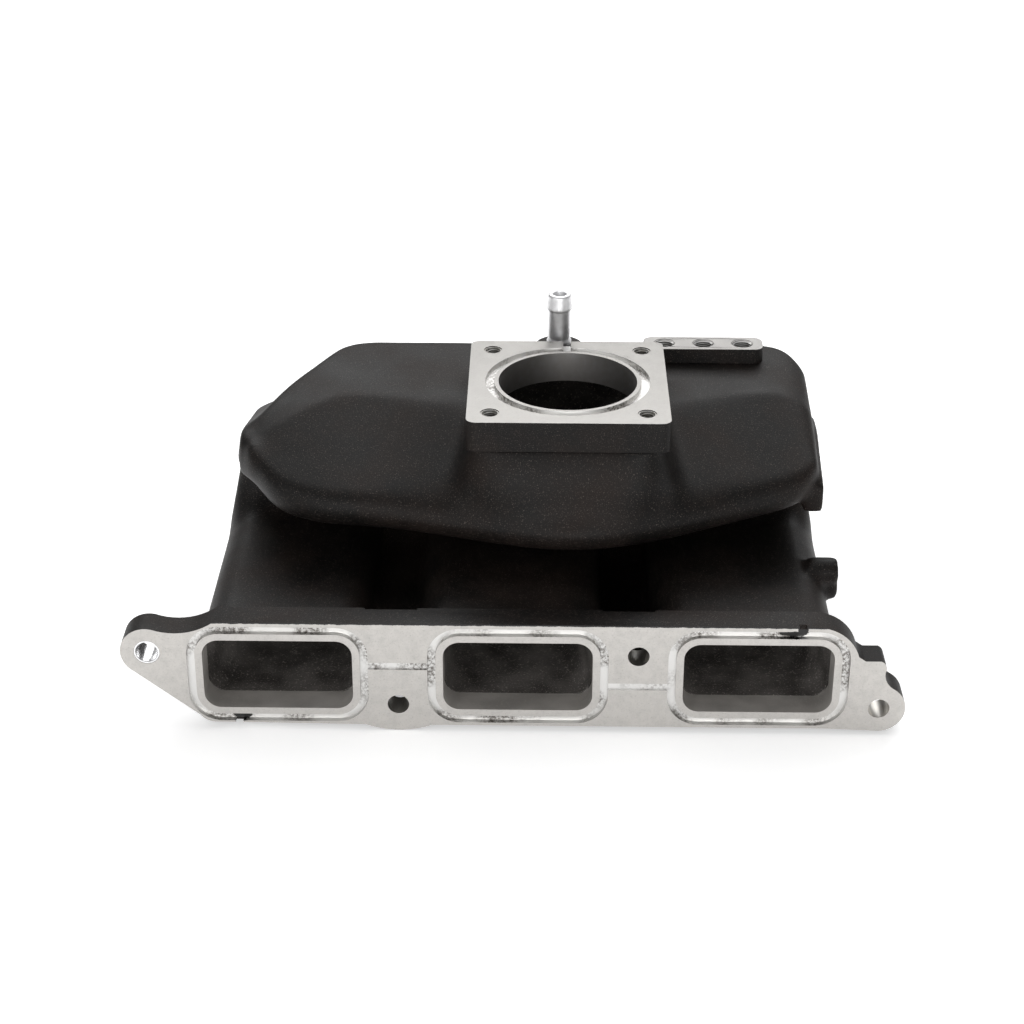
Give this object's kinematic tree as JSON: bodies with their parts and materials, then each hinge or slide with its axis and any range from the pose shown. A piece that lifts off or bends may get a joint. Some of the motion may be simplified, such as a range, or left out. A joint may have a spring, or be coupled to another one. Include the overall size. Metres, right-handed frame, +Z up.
{
  "type": "intake manifold",
  "caption": "Black-coated aluminium intake manifold with a machined head flange, curved runners, a plenum, a square throttle flange, a vacuum rail and a hose barb.",
  "frame": {"origin": "centre of the middle port opening, on the gasket face of the head flange", "axes": "+X along the row of ports, +Y from the cylinder head back into the manifold, +Z up, out of the throttle flange"},
  "size_m": [0.3272, 0.1688, 0.1392],
  "materials": {
    "black_coat": "matt black powder coat over a fine sand-cast surface",
    "machined_aluminium": "face-milled aluminium, with black coat left on its cast sides",
    "rail_aluminium": "milled top, black-coated sides",
    "sleeve_steel": "turned bright steel",
    "insert_steel": "cut thread, plain steel",
    "turned_barb": "lathe-turned, fine rings"
  },
  "bodies": {
    "root": {"plenum_shell": "black_coat", "plenum_floor": "black_coat", "head_flange": "machined_aluminium", "locating_sleeve": "sleeve_steel", "runner_left": "black_coat", "runner_middle": "black_coat", "runner_right": "black_coat", "valley_web_left": "black_coat", "valley_web_right": "black_coat", "throttle_flange": "machined_aluminium", "throttle_thread_inserts": "insert_steel", "vacuum_rail": "rail_aluminium", "barb_boss": "black_coat", "hose_barb": "turned_barb", "side_pad": "black_coat", "bracket_boss": "black_coat"}
  },
  "joints": []
}
